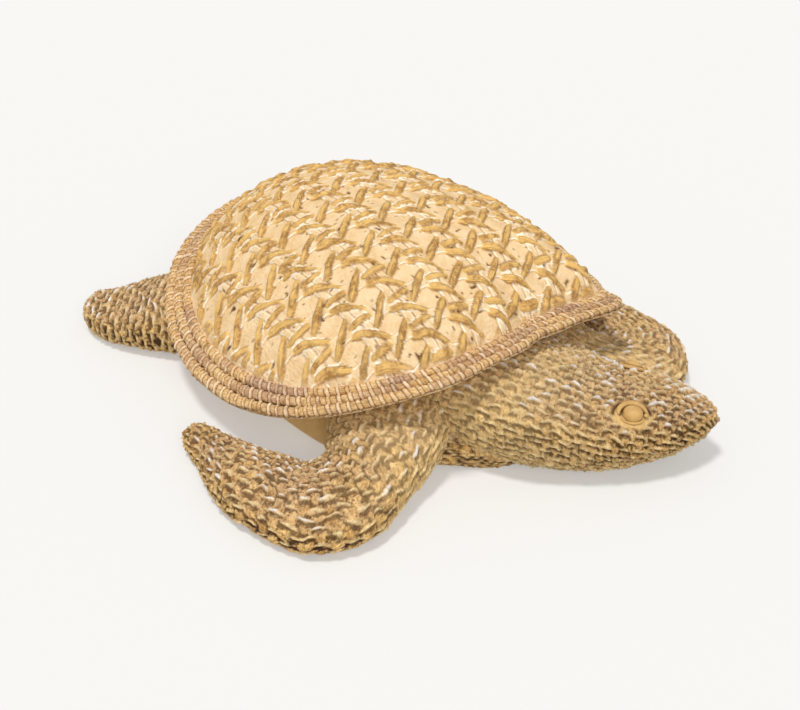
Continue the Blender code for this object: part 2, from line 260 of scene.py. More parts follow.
# Limb surface
def rows_at(rows, shares):
    """The rows at shares of the way along, by a smooth curve through the given rows."""
    rows = np.array(rows, float)
    place = np.clip(shares, 0, 1) * (len(rows) - 1)
    k = np.minimum(place.astype(int), len(rows) - 2)
    t = (place - k)[:, None]
    padded = np.vstack([2 * rows[0] - rows[1], rows, 2 * rows[-1] - rows[-2]])
    before, near, far, after = (padded[k + step] for step in range(4))
    slope_in, slope_out = 0.5 * (far - before), 0.5 * (after - near)
    return ((2 * t**3 - 3 * t**2 + 1) * near + (t**3 - 2 * t**2 + t) * slope_in
            + (3 * t**2 - 2 * t**3) * far + (t**3 - t**2) * slope_out)


def limb_points(rows, shares, angles):
    """Grid of points on a limb: angle 0 is its first edge, 90 degrees its top."""
    x0, y0, x1, y1, z, above, below = (column[:, None] for column in rows_at(rows, shares).T)
    power = 2 / SQUARENESS
    across = np.sign(np.cos(angles)) * np.abs(np.cos(angles)) ** power
    up = np.sign(np.sin(angles)) * np.abs(np.sin(angles)) ** power
    height = np.where(up >= 0, above, below)
    return stacked((x0 + x1) / 2 + (x0 - x1) / 2 * across, (y0 + y1) / 2 + (y0 - y1) / 2 * across,
                   z + height * up)


def even_shares(rows, count):
    """Shares of a limb's length with even steps of distance along its middle."""
    dense = np.linspace(0, 1, 1200)
    track = limb_points(rows, dense, np.array([pi / 2]))[:, 0]
    run = np.concatenate([[0], np.cumsum(np.linalg.norm(np.diff(track, axis=0), axis=1))])
    return np.interp(np.linspace(0, run[-1], count), run, dense), run[-1]


def grid_normals(points):
    """Normals of a limb's grid, which closes on itself across its second direction, facing outwards."""
    around = np.roll(points, -1, axis=1) - np.roll(points, 1, axis=1)
    normals = np.cross(np.gradient(points, axis=0), around)
    normals = normals / np.maximum(np.linalg.norm(normals, axis=-1, keepdims=True), 1e-9)
    middle = points.mean(axis=1, keepdims=True)
    return normals if ((points - middle) * normals)[1:-1].sum() >= 0 else -normals


# Plain weave of puffy strands and short rolled dashes
def weave(s, t, reach, seed):
    """Height, dash, puff, crevice under the dash and chance of the weave, at places in cells."""
    column = np.round(s)
    over = 0.5 + 0.5 * np.cos(pi * (t - column - 1))
    which = column + 1 + 2 * np.round((t - column - 1) / 2)
    lift = 1 + 0.36 * lattice_random(cells(column, which), seed)
    waist = 2 * (s - column) / (0.80 + 0.20 * over)
    puff = np.clip(1 - waist**2, 0, 1) ** 0.5 * over ** 0.6
    row = np.round(t)
    away = s - row - 2 * np.round((s - row) / 2)
    sagged = t - DASH_SAG * away**2
    row = np.round(sagged)
    middle = row + 2 * np.round((s - row) / 2)
    chance = lattice_random(cells(middle, row), seed + 1)
    away = (s - middle) / (reach * (1 + 0.25 * chance))
    slant = 0.16 * lattice_random(cells(middle, row), seed + 2)
    b = sagged - row + slant * away
    reached = np.clip(1 - away**2, 0, 1)
    dash = np.exp(-((b / DASH_HALF) ** 2)) * reached ** 0.8
    under = np.exp(-(((b * np.sign(t) - CREVICE_PLACE) / CREVICE_HALF) ** 2)) * reached ** 0.5
    puffs, dashes = PUFF_BASE + PUFF_HEIGHT * puff * lift, (DASH_HEIGHT + 0.30 * chance) * dash
    return np.maximum(puffs, dashes) - CREVICE_DEPTH * under, dash, puff, under, chance


# Building of pieces
def vertex_places(piece):
    places = np.empty(len(piece.data.vertices) * 3)
    piece.data.vertices.foreach_get("co", places)
    return places.reshape(-1, 3)


def finish(piece, points, masks, material):
    """Moves the piece's vertices to their points and gives it its masks and its material."""
    mesh = piece.data
    points = np.clip(points * UNIT, np.array(cad_bounds[0]) + MARGIN, np.array(cad_bounds[1]) - MARGIN)
    mesh.vertices.foreach_set("co", points.ravel())
    for name, values in masks.items():
        layer = mesh.attributes.new(name, "FLOAT", "POINT")
        layer.data.foreach_set("value", values.astype(np.float32).ravel())
    mesh.materials.append(material)
    bpy.ops.object.mode_set(mode="EDIT")
    bpy.ops.mesh.select_all(action="SELECT")
    bpy.ops.mesh.normals_make_consistent(inside=False)
    bpy.ops.object.mode_set(mode="OBJECT")
    bpy.ops.object.shade_smooth()
    bpy.ops.object.select_all(action="DESELECT")
    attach(piece, "root")
    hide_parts(NODE)


def sphere_grid(name, rings, sides):
    """A sphere primitive, with the ring and the side that each of its vertices is on."""
    bpy.ops.mesh.primitive_uv_sphere_add(segments=sides, ring_count=rings, radius=1.0)
    piece = bpy.context.object
    piece.name = piece.data.name = name
    co = vertex_places(piece)
    ring = np.round(np.arccos(np.clip(co[:, 2], -1, 1)) / pi * rings).astype(int)
    side = np.round(np.arctan2(co[:, 1], co[:, 0]) / (2 * pi) * sides).astype(int) % sides
    return piece, ring, side


def cell_places(base, distance, cell, seed):
    """Places on a limb in cells of its weave: along it, and across from its top, each a little astray."""
    steps = np.linalg.norm(np.roll(base, -1, axis=1) - base, axis=-1)
    run = np.concatenate([np.zeros((len(base), 1)), np.cumsum(steps[:, :-1], axis=1)], axis=1)
    total = steps.sum(axis=1, keepdims=True)
    across = np.where(run > total / 2, run - total, run)
    root, tip, across_share = cell
    size = root + (tip - root) * smoothstep(0.35, 1.0, distance / distance[-1])
    s = np.concatenate([[0], np.cumsum(np.diff(distance) / size[1:])])[:, None]
    t = across / (size[:, None] * across_share)
    s = s + 0.30 * noise(base, 9.0, seed) + 0.27 * noise(base, 3.5, seed + 1)
    t = t + 0.30 * noise(base, 8.0, seed + 2) + 0.25 * noise(base, 3.5, seed + 3)
    return s + 0.10 * noise(base, 1.5, seed + 16), t + 0.09 * noise(base, 1.5, seed + 17)


def limb(name, rows, rings, sides, cell, material, seed, floor, relief=1.3, reach=0.85, scratches=0.16,
         along_dashes=True, smooth=None, painted_light_reach=0.50):
    """A limb with woven skin.

    The cell is its size at the root and at the tip, and its share of that across. The floor is the height
    of the flat underside, and differs a little from limb to limb so that no two flat faces coincide.
    """
    piece, ring, side = sphere_grid(name, rings, sides)
    shares, length = even_shares(rows, rings + 1)
    phase = 2 * pi * np.arange(sides) / sides
    base = limb_points(rows, shares, pi / 2 + phase - TOP_DENSITY * np.sin(phase))
    normals = grid_normals(base)
    distance = np.linspace(0, length, rings + 1)
    s, t = cell_places(base, distance, cell, seed)
    if along_dashes:
        height, dash, puff, under, chance = weave(s, t + 0.35, reach, seed + 13)
        fibre = noise(stacked(s * 4.5, t * 1.2, s * 0), 1.0, seed + 4)
    else:
        height, dash, puff, under, chance = weave(t, s, reach, seed + 13)
        fibre = noise(stacked(s * 1.2, t * 4.5, s * 0), 1.0, seed + 4)

    # Fibres, grain, scratches and cracks over the weave
    grain, rough = noise(base, 0.9, seed + 5), noise(base, 1.7, seed + 9)
    stroke = noise(stacked(s * 3.5 + t * 1.8, t * 1.6 - s * 0.8, s * 0), 1.0, seed + 11)
    crack = smoothstep(0.13, 0.02, np.abs(noise(base, 2.1, seed + 12))) * (1 - dash)
    height = height + 0.24 * fibre * puff + 0.07 * grain + 0.11 * rough + 0.13 * noise(base, 5.0, seed + 6)
    height = height + scratches * stroke - 0.30 * crack

    # Where the skin is smooth, creased or streaked instead
    plain, crease, streak = np.zeros((3,) + base.shape[:2]) if smooth is None else smooth(base)
    level = 0.55 + 0.04 * grain + 0.08 * noise(base, 6.0, seed + 10) - 0.8 * crease
    height = height * (1 - plain) + level * plain
    height = np.maximum(height, 1.05 * streak + 0.2 * rough * streak)
    dash, chance = np.maximum(dash * (1 - plain), streak), np.maximum(chance, 2 * streak)

    points = base + normals * (relief * (height - SURFACE_LEVEL))[..., None]
    points[0], points[-1] = base[0].mean(axis=0), base[-1].mean(axis=0)
    points[..., 2] = np.maximum(points[..., 2], floor)
    up = normals[..., 2]
    # Painted light: the skin nearest the shell, which the shell shades, is painted lighter, fading out at the
    # given share of the limb's length
    near = smoothstep(painted_light_reach, 0.4 * painted_light_reach, distance / length)[:, None]
    # Painted shade: darker in the weave's low places, in the cracks and in the crevice under each dash, more
    # on downward faces and less near the shell
    crevice_shade = np.maximum(smoothstep(0.42, 0.06, height), np.maximum(0.55 * crack, 0.95 * under * (1 - dash)))
    crevice_shade = crevice_shade * (0.80 + 0.30 * smoothstep(0.6, -0.2, up)) * (1 - 0.35 * near)
    masks = {
        "tone": 0.5 + 0.5 * noise(base, 2.9, seed + 15),
        "dash": dash * smoothstep(-0.3, 0.9, chance + 0.8 * noise(base, 9.0, seed + 7)),
        "straw": dash,
        # Painted shade in the weave, and dark paint with painted shade in the creases round the eyes
        "groove": np.maximum(crevice_shade * (1 - plain), crease * plain),
        "along": s,
        "across": t,
        "up": smoothstep(0.15, 0.85, up),
        "wash": 0.5 + 0.5 * noise(base, 11.0, seed + 8),
        "plain": plain * (1 - crease),
        "near": np.broadcast_to(near, t.shape)}
    masks = {key: values[ring, side] for key, values in masks.items()}
    finish(piece, points[ring, side], masks, material)


# Materials
def linear(red, green, blue):
    """A colour given as seen on a screen, from 0 to 255."""
    return tuple(((c / 255 + 0.055) / 1.055) ** 2.4 if c > 10 else c / 255 / 12.92
                 for c in (red, green, blue)) + (1.0,)


def new_material(name, roughness):
    made = bpy.data.materials.new(name)
    made.use_nodes = True
    shader = made.node_tree.nodes["Principled BSDF"]
    shader.inputs["Roughness"].default_value = roughness
    shader.inputs["Specular IOR Level"].default_value = 0.25
    return made, made.node_tree, shader


def mask(tree, name, strength=None):
    """A piece's own value at each place, times the strength where one is given."""
    node = tree.nodes.new("ShaderNodeAttribute")
    node.attribute_name = name
    return node.outputs["Fac"] if strength is None else times(tree, node.outputs["Fac"], strength)


def noise_node(tree, scale, detail=3.0):
    coordinates = tree.nodes.new("ShaderNodeTexCoord")
    node = tree.nodes.new("ShaderNodeTexNoise")
    node.inputs["Scale"].default_value = scale
    node.inputs["Detail"].default_value = detail
    tree.links.new(coordinates.outputs["Object"], node.inputs["Vector"])
    return node.outputs["Fac"]


def ramped(tree, value, low, high, low_value=0.0, high_value=1.0):
    node = tree.nodes.new("ShaderNodeMapRange")
    node.inputs["From Min"].default_value = low
    node.inputs["From Max"].default_value = high
    node.inputs["To Min"].default_value = low_value
    node.inputs["To Max"].default_value = high_value
    tree.links.new(value, node.inputs["Value"])
    return node.outputs["Result"]


def times(tree, one, two):
    node = tree.nodes.new("ShaderNodeMath")
    node.operation = "MULTIPLY"
    for socket, value in zip(node.inputs, (one, two)):
        if isinstance(value, (int, float)):
            socket.default_value = value
        else:
            tree.links.new(value, socket)
    return node.outputs["Value"]


def mixed(tree, factor, under, over):
    node = tree.nodes.new("ShaderNodeMix")
    node.data_type = "RGBA"
    tree.links.new(factor, node.inputs["Factor"])
    sockets = [socket for socket in node.inputs if socket.type == "RGBA"]
    for socket, value in zip(sockets, (under, over)):
        if isinstance(value, tuple):
            socket.default_value = value
        else:
            tree.links.new(value, socket)
    return [socket for socket in node.outputs if socket.type == "RGBA"][0]


def painted(tree, colour, coats):
    """The colour under coats of paint, each with where it shows and how it looks on a screen."""
    for factor, paint in coats:
        colour = mixed(tree, factor, colour, linear(*paint))
    return colour


def patched(tree, scale, one, other):
    """Two colours in soft patches."""
    return mixed(tree, ramped(tree, noise_node(tree, scale), 0.35, 0.65), linear(*one), linear(*other))


def line_at(tree, name, place, half):
    """A line where a piece's own value is near a place."""
    away = tree.nodes.new("ShaderNodeMath")
    away.operation = "SUBTRACT"
    tree.links.new(mask(tree, name), away.inputs[0])
    away.inputs[1].default_value = place
    size = tree.nodes.new("ShaderNodeMath")
    size.operation = "ABSOLUTE"
    tree.links.new(away.outputs["Value"], size.inputs[0])
    return ramped(tree, size.outputs["Value"], half, half * 0.35)


def fibres(tree, across_scale, along_scale, twist=0.0):
    """Noise drawn out along the strands, by the piece's own along and across values."""
    place = tree.nodes.new("ShaderNodeCombineXYZ")
    tree.links.new(times(tree, mask(tree, "across"), across_scale), place.inputs["X"])
    tree.links.new(times(tree, mask(tree, "along"), along_scale), place.inputs["Y"])
    node = tree.nodes.new("ShaderNodeTexNoise")
    node.inputs["Scale"].default_value = 1.0
    node.inputs["Detail"].default_value = 3.0
    node.inputs["Distortion"].default_value = twist
    tree.links.new(place.outputs["Vector"], node.inputs["Vector"])
    return node.outputs["Fac"]


def bumped(tree, shader, scale, strength, distance, drawn=None):
    """Fine grain, and the drawn-out fibres where they are given."""
    height = noise_node(tree, scale)
    if drawn is not None:
        total = tree.nodes.new("ShaderNodeMath")
        total.operation = "ADD"
        tree.links.new(height, total.inputs[0])
        tree.links.new(drawn, total.inputs[1])
        height = total.outputs["Value"]
    bump = tree.nodes.new("ShaderNodeBump")
    bump.inputs["Strength"].default_value = strength
    bump.inputs["Distance"].default_value = distance
    tree.links.new(height, bump.inputs["Height"])
    tree.links.new(bump.outputs["Normal"], shader.inputs["Normal"])


def skin_material():
    made, tree, shader = new_material("woven_skin", 0.75)
    drawn = fibres(tree, 2.2, 7.0, 1.2)
    washed = times(tree, mask(tree, "up"), ramped(tree, mask(tree, "wash"), 0.1, 0.7, 0.15, 0.65))
    on_straw = ramped(tree, mask(tree, "straw"), 0, 1, 0.75, 0.15)
    specks = times(tree, ramped(tree, noise_node(tree, 900.0, 5.0), 0.43, 0.32), on_straw)
    # White paint on chosen dashes, faint on downward faces and full on upward faces as a painted highlight
    pale = times(tree, mask(tree, "dash"), ramped(tree, mask(tree, "up"), 0.1, 0.9, 0.10, 1.0))
    colour = painted(tree, patched(tree, 260.0, (240, 190, 112), (255, 214, 144)), (
        (washed, (226, 186, 146)),
        (ramped(tree, drawn, 0.54, 0.36, 0.0, 0.62), (152, 104, 54)),
        (ramped(tree, mask(tree, "tone"), 0.45, 0.15, 0.0, 0.45), (166, 116, 60)),
        (specks, (140, 96, 50)),
        # Painted light near the shell, lightening the skin that the shell shades
        (mask(tree, "near", 0.50), (255, 222, 158)),
        (mask(tree, "straw", 0.65), (255, 232, 180)),
        # Painted shade in the weave's low places and under the dashes, and dark paint with painted shade in
        # the creases round the eyes
        (mask(tree, "groove", 0.95), (72, 42, 16)),
        (mask(tree, "plain"), (244, 202, 134)),
        (ramped(tree, pale, 0.40, 0.75), (248, 238, 230))))
    tree.links.new(colour, shader.inputs["Base Color"])
    bumped(tree, shader, 900.0, 1.0, 0.0010, drawn)
    return made


def smooth_material():
    made, tree, shader = new_material("smooth_skin", 0.6)
    # Dark paint and painted shade in the eyes' creases
    colour = painted(tree, patched(tree, 300.0, (188, 148, 90), (208, 168, 104)), (
        (mask(tree, "groove", 0.9), (92, 58, 24)),))
    tree.links.new(colour, shader.inputs["Base Color"])
    bumped(tree, shader, 1500.0, 0.2, 0.0003)
    return made


def rope_material():
    made, tree, shader = new_material("rope_rim", 0.75)
    drawn = fibres(tree, 2.0, 0.5)
    # Pale paint on each wrap's crest in worn patches, kept to the rope's outer side, where it is also a
    # painted highlight
    pale = times(tree, line_at(tree, "wrap", 0.0, 0.15), mask(tree, "worn"))
    colour = painted(tree, patched(tree, 220.0, (218, 174, 112), (242, 204, 144)), (
        (mask(tree, "brown"), (184, 146, 118)),
        (ramped(tree, noise_node(tree, 700.0, 4.0), 0.54, 0.64, 0.0, 0.4), (252, 234, 204)),
        (ramped(tree, drawn, 0.60, 0.38, 0.0, 0.62), (140, 96, 54)),
        # Painted shade on the rope's inner side, where it lies on the brim, and dirt in patches
        (mask(tree, "groove", 0.8), (108, 72, 38)),
        # Painted shade in the dip between wraps
        (times(tree, line_at(tree, "wrap", 0.21, 0.07), 0.75), (124, 84, 46)),
        (times(tree, pale, 0.6), (250, 228, 200))))
    tree.links.new(colour, shader.inputs["Base Color"])
    bumped(tree, shader, 1300.0, 0.5, 0.0004, drawn)
    return made


def cane_material():
    made, tree, shader = new_material("cane_dome", 0.7)
    drawn = times(tree, fibres(tree, 1.6, 0.4), mask(tree, "inner"))
    dark = times(tree, mask(tree, "inner"), ramped(tree, drawn, 0.56, 0.36, 0.0, 0.40))
    blotches = ramped(tree, noise_node(tree, 800.0, 4.0), 0.36, 0.56, 0.25, 1.0)
    rough = times(tree, mask(tree, "crest"), blotches)
    ground = ramped(tree, mask(tree, "strand"), 0.7, 0.2)
    between = times(tree, ground, ramped(tree, mask(tree, "ring"), 1.04, 1.12))
    worn = ramped(tree, noise_node(tree, 330.0), 0.34, 0.48)

    def drawn_line(name, place, half, where, strength):
        line = times(tree, times(tree, line_at(tree, name, place, half), where), worn)
        return times(tree, line, strength)

    colour = painted(tree, patched(tree, 200.0, (224, 190, 140), (236, 206, 162)), (
        (mask(tree, "strand"), (244, 200, 122)),
        (dark, (178, 124, 60)),
        # Painted shade on the strands' rounded sides
        (mask(tree, "flank_shade", 0.38), (172, 120, 58)),
        (times(tree, rough, 0.75), (158, 108, 56)),
        (drawn_line("band", 0.0, 0.42, between, 0.65), (160, 116, 66)),
        (drawn_line("band", 2.55, 0.38, between, 0.5), (176, 132, 80)),
        (drawn_line("band", 0.62, 0.32, between, 0.5), (250, 236, 212)),
        (drawn_line("ring", 1.02, 0.07, ground, 0.8), (252, 242, 224)),
        (drawn_line("ring", 0.93, 0.05, ground, 0.45), (190, 146, 92)),
        # Painted shade on the ground at the strands' feet, in patches
        (mask(tree, "base", 0.8), (150, 106, 58)),
        (mask(tree, "edge", 0.85), (253, 242, 220)),
        (mask(tree, "pit"), (110, 74, 36)),
        (mask(tree, "brim"), (128, 88, 50))))
    tree.links.new(colour, shader.inputs["Base Color"])
    bumped(tree, shader, 900.0, 1.0, 0.0007, drawn)
    return made


# Pieces of the shell
def cane_place(x, y):
    """Places on the cane's flat grid of openings, before it is pressed over the dome."""
    reach = np.maximum(np.hypot(x, y) / RADIUS, 1e-6)
    press = (1 - np.sqrt(np.clip(1 - 4 * CANE_PRESS * reach**2, 0, 1))) / (2 * CANE_PRESS * reach**2)
    (ax, ay), (bx, by) = CANE_ALONG, CANE_ACROSS
    px, py = x * press - CANE_ORIGIN[0], y * press - CANE_ORIGIN[1]
    area = ax * by - ay * bx
    return (px * by - py * bx) / area, (ax * py - ay * px) / area


def strand(line, side, shape, swell, lift):
    """Half width, rise, height and distance from their middles of the strands on whole-numbered lines."""
    width, least, low, swelling, power = shape
    half, rise = width * (least + (1 - least) * swell), low + swelling * swell**power + lift
    off = (line - np.round(line)) * side
    crown = np.sqrt(np.clip(1 - (off / half) ** 2, 0, 1))
    fall = STRAND_SIDE_SLOPE * np.maximum(np.abs(off) - half, 0)
    return half, rise, rise - STRAND_ROUNDNESS * half * (1 - crown) - fall, off


def cane_relief(x, y):
    """Relief of the cane weave in plan, with the masks of its colours and its fibres' directions."""
    here = stacked(x, y, x * 0)
    u, v = cane_place(x, y)
    u = u + 0.035 * noise(here, 10.0, 41) + 0.015 * noise(here, 4.0, 47)
    v = v + 0.035 * noise(here, 10.0, 42) + 0.015 * noise(here, 4.0, 48)
    (ax, ay), (bx, by) = CANE_ALONG, CANE_ACROSS
    area = ax * by - ay * bx
    wave = 0.5 + 0.5 * np.cos(2 * pi * v)
    rest = 1 - wave
    vary = 0.18 * noise(here, 7.0, 49)

    # The openings, and the flat pair of straws between them
    low_u, low_v = np.abs(u - np.round(u)), np.abs(v - np.round(v))
    octagon = np.maximum(np.maximum(low_u, low_v), (low_u + low_v) * 0.70) / OPENING_SIZE
    ground = -OPENING_DEPTH * smoothstep(1.04, 0.84, octagon)
    beside_middle = np.abs(v - np.floor(v) - 0.5) * area / hypot(ax, ay)
    flat = np.abs(beside_middle - FLAT_PLACE)
    band = (FLAT_HEIGHT - 0.25 * smoothstep(0.8, FLAT_HALF, flat)
            - STRAND_SIDE_SLOPE * np.maximum(flat - FLAT_HALF, 0))
    low = np.maximum(ground, band)
    slit = np.maximum(smoothstep(0.45, 0.15, np.abs(beside_middle - 0.1)),
                      0.7 * smoothstep(0.40, 0.1, np.abs(beside_middle - FLAT_PLACE - FLAT_HALF)))

    # The round strands that cross them
    strands = (
        strand(u - 0.47, area / hypot(bx, by), UPRIGHT_STRAND, rest, vary),
        strand(u + v - 0.5, area / hypot(bx - ax, by - ay), STEEP_STRAND, wave, vary),
        strand(u - v - 0.55 + 0.16 * rest, area / hypot(bx + ax, by + ay), ARCHED_STRAND, rest, -vary))
    tops = np.stack([ground, band] + [top for half, rise, top, off in strands])
    relief, which = tops.max(axis=0), tops.argmax(axis=0)
    margin = relief - np.sort(tops, axis=0)[-2]
    raised = smoothstep(-0.15, 0.20, tops[2:].max(axis=0) - low)
    # Painted shade on the rounded sides of the strand on top, and the distance beside the strands
    flank_shade, beside = x * 0, x * 0 + 9
    for half, rise, top, off in strands:
        side = smoothstep(0.50, 0.95, np.abs(off) / half) * smoothstep(-0.3, 0.0, top - relief)
        flank_shade = np.maximum(flank_shade, side)
        beside = np.minimum(beside, np.abs(off) - half + 3 * smoothstep(0.5, 0.1, rise - low))
    touch = (1 - raised) * smoothstep(0.75, 0.05, beside)

    # Paint and wear
    dabs = noise(here, 4.0, 51)
    pits = smoothstep(0.74, 0.88, noise(here, 1.5, 45)) * (1 - raised)
    blotches = smoothstep(-0.4, 0.5, noise(here, 2.4, 44) + 0.5 * noise(here, 1.0, 53))
    masks = {
        "strand": raised,
        "crest": raised * smoothstep(0.1, 0.9, relief) * blotches,
        "flank_shade": flank_shade * raised,
        "inner": raised * smoothstep(0.05, 0.45, margin),
        # Painted shade on the ground at the strands' feet, in patches
        "base": touch * smoothstep(-0.2, 0.3, dabs),
        "edge": touch * smoothstep(0.1, -0.35, dabs),
        "pit": pits,
        "band": beside_middle,
        "ring": octagon,
        "along": v * 6,
        "across": np.choose(which, [u * 12, beside_middle] + [off for half, rise, top, off in strands]) * 2.2}
    rough = raised * (0.24 * noise(here, 1.2, 43) + 0.18 * noise(here, 2.6, 52))
    relief = relief + rough + 0.05 * noise(here, 1.3, 46)
    relief = relief - 0.5 * pits - 0.25 * slit * (1 - raised) * smoothstep(1.0, 1.08, octagon)
    return relief * CANE_RELIEF, masks


def disk_places(places):
    """For a square grid with rings below it: ring, share of the way out, and angle on the round shell."""
    a, b = places[:, 0], places[:, 1]
    flatter = np.abs(a) >= np.abs(b)
    long, short = np.where(flatter, a, b), np.where(flatter, b, a)
    slant = pi / 4 * short / np.where(long == 0, 1, long)
    angle = np.where(flatter, slant, pi / 2 - slant) + np.where(long < 0, pi, 0)
    return np.round(-places[:, 2] / RING_STEP).astype(int), np.maximum(np.abs(a), np.abs(b)), angle


def carapace(material):
    """The closed shell: cane dome above, smooth lip and underside below."""
    bpy.ops.mesh.primitive_grid_add(x_subdivisions=DOME_CELLS, y_subdivisions=DOME_CELLS, size=2.0)
    piece = bpy.context.object
    piece.name = piece.data.name = "carapace"
    bpy.ops.object.mode_set(mode="EDIT")
    bpy.ops.mesh.select_all(action="SELECT")
    bpy.ops.mesh.region_to_loop()
    for _ in UNDER_RINGS:
        bpy.ops.mesh.extrude_edges_move(TRANSFORM_OT_translate={"value": (0, 0, -RING_STEP)})
    bpy.ops.mesh.edge_face_add()
    bpy.ops.object.mode_set(mode="OBJECT")
    ring, reach, angle = disk_places(vertex_places(piece))

    # Rings of the grid are spread evenly over the curve of the dome, from its top to just under the rope
    shares = np.linspace(0, 1, 800)
    heights = shell_height(shares * (RADIUS * DOME_MEAN_RADIUS - BRIM_WIDTH), 0 * shares)
    runs = np.concatenate([[0], np.cumsum(np.hypot(np.diff(shares * RADIUS), np.diff(heights)))])
    edge = outline_radius(angle) - brim_width(angle) + DOME_OVERLAP
    radius = np.interp(reach * runs[-1], runs, shares) * edge
    x, y = radius * np.cos(angle), radius * np.sin(angle)
    step = 0.05
    normal = stacked((shell_height(x - step, y) - shell_height(x + step, y)) / (2 * step),
                     (shell_height(x, y - step) - shell_height(x, y + step)) / (2 * step), 1.0)
    normal /= np.linalg.norm(normal, axis=1, keepdims=True)
    relief, masks = cane_relief(x, y)
    inner = smoothstep(1.0, 0.965, reach)
    points = stacked(x, y, shell_height(x, y)) + normal * (relief * inner)[:, None]
    for number, (inward, rise) in enumerate(UNDER_RINGS, 1):
        chosen = ring == number
        rx, ry = brim_place(angle[chosen], inward)
        points[chosen] = stacked(rx, ry, rim_height(rx, ry) + rise)
    for name in ("strand", "crest", "flank_shade", "inner", "base", "edge", "pit"):
        masks[name] = masks[name] * ((ring == 0) * inner)
    masks["brim"] = ((ring == 1) | (ring == 2)) * 1.0
    finish(piece, points, masks, material)


def rope(name, row, material, seed):
    """One row of wrapped rope round the shell's rim."""
    around, sides = ROPE_SEGMENTS
    bpy.ops.mesh.primitive_torus_add(major_segments=around, minor_segments=sides, major_radius=1.0,
                                     minor_radius=0.25)
    piece = bpy.context.object
    piece.name = piece.data.name = name
    bpy.ops.object.mode_set(mode="EDIT")
    bpy.ops.mesh.select_all(action="SELECT")
    bpy.ops.mesh.subdivide(number_cuts=ROPE_CUTS)
    bpy.ops.object.mode_set(mode="OBJECT")
    co = vertex_places(piece)
    angle = np.arctan2(co[:, 1], co[:, 0])
    turn = np.arctan2(co[:, 2], np.hypot(co[:, 0], co[:, 1]) - 1.0)
    inward = (row + 0.5) / ROPE_ROWS + ROPE_WANDER * noise(brim_point(angle, 0.5), 12.0, seed + 7)
    middle = brim_point(angle, inward)
    step = 0.002
    ahead = brim_point(angle + step, inward) - brim_point(angle - step, inward)
    ahead /= np.linalg.norm(ahead, axis=1, keepdims=True)
    above = brim_point(angle, inward + 0.1) - brim_point(angle, inward - 0.1)
    above /= np.linalg.norm(above, axis=1, keepdims=True)
    out = np.cross(ahead, above)
    out *= np.sign(out[:, 2:]) / np.linalg.norm(out, axis=1, keepdims=True)
    dense = np.linspace(-pi, pi, 4001)
    track = brim_point(dense, (row + 0.5) / ROPE_ROWS)
    lengths = np.concatenate([[0], np.cumsum(np.linalg.norm(np.diff(track, axis=0), axis=1))])
    wraps = round(lengths[-1] / ROPE_WRAP)
    s = np.interp(angle, dense, lengths) / lengths[-1] * wraps
    phase = s + 0.32 * noise(middle, 6.0, seed) + 0.16 * np.sin(turn) + 0.37 * row
    away = np.abs(phase - np.round(phase))
    ridge = smoothstep(0.17, 0.07, away)
    dip = np.exp(-(((away - 0.20) / 0.06) ** 2))
    around_it = stacked(middle[:, 0], middle[:, 1], middle[:, 2] + 3 * turn)
    fibre = noise(stacked(s * 1.5, turn * 3.2, turn * 0), 1.0, seed + 5)
    size = (1 + 0.24 * ridge - 0.10 * dip + 0.12 * noise(middle, 4.5, seed + 1)
            + 0.11 * noise(around_it, 1.1, seed + 2) + 0.08 * fibre)
    half = brim_width(angle) / (2 * ROPE_ROWS)
    outward = np.cos(turn)
    points = (middle + out * (ROPE_HEIGHT * size * outward - ROPE_SINK)[:, None]
              + above * (ROPE_OVERLAP * half * size * np.sin(turn))[:, None])
    dirt = 0.6 * smoothstep(0.3, 0.8, noise(around_it, 1.8, seed + 6))
    masks = {
        "wrap": away,
        # Worn patches where pale paint shows on the wrap crests, kept to the rope's outer side as a painted
        # highlight
        "worn": smoothstep(-0.2, 0.5, outward) * (0.6 + 0.8 * noise(middle, 3.0, seed + 3)),
        # Painted shade on the rope's inner side, where it lies on the brim, and patches of dirt
        "groove": np.maximum(smoothstep(0.15, -0.25, outward), dirt),
        "brown": (0.42 + 0.28 * row) * smoothstep(-0.3, 0.6, noise(middle, 9.0, seed + 4)),
        "along": s * 4,
        "across": turn * 3}
    finish(piece, points, masks, material)


def eye_axes(angle):
    """Middle of an eye on the head, with the directions ahead, above and out of it."""
    around = angle + (EYE_STEP_ROUND if angle < 90 else -EYE_STEP_ROUND)

    def head_point(share, degrees):
        return Vector(limb_points(HEAD, np.array([share]), np.array([radians(degrees)]))[0, 0])

    centre = head_point(EYE_ALONG, angle)
    ahead = head_point(EYE_ALONG + EYE_STEP_ALONG, angle) - head_point(EYE_ALONG - EYE_STEP_ALONG, angle)
    ahead.normalize()
    out = ahead.cross(head_point(EYE_ALONG, around) - centre).normalized()
    if out.z < 0:
        out.negate()
    above = out.cross(ahead).normalized()
    if above.z < 0:
        above.negate()
    return tuple(np.array(vector) for vector in (centre, ahead, above, out))


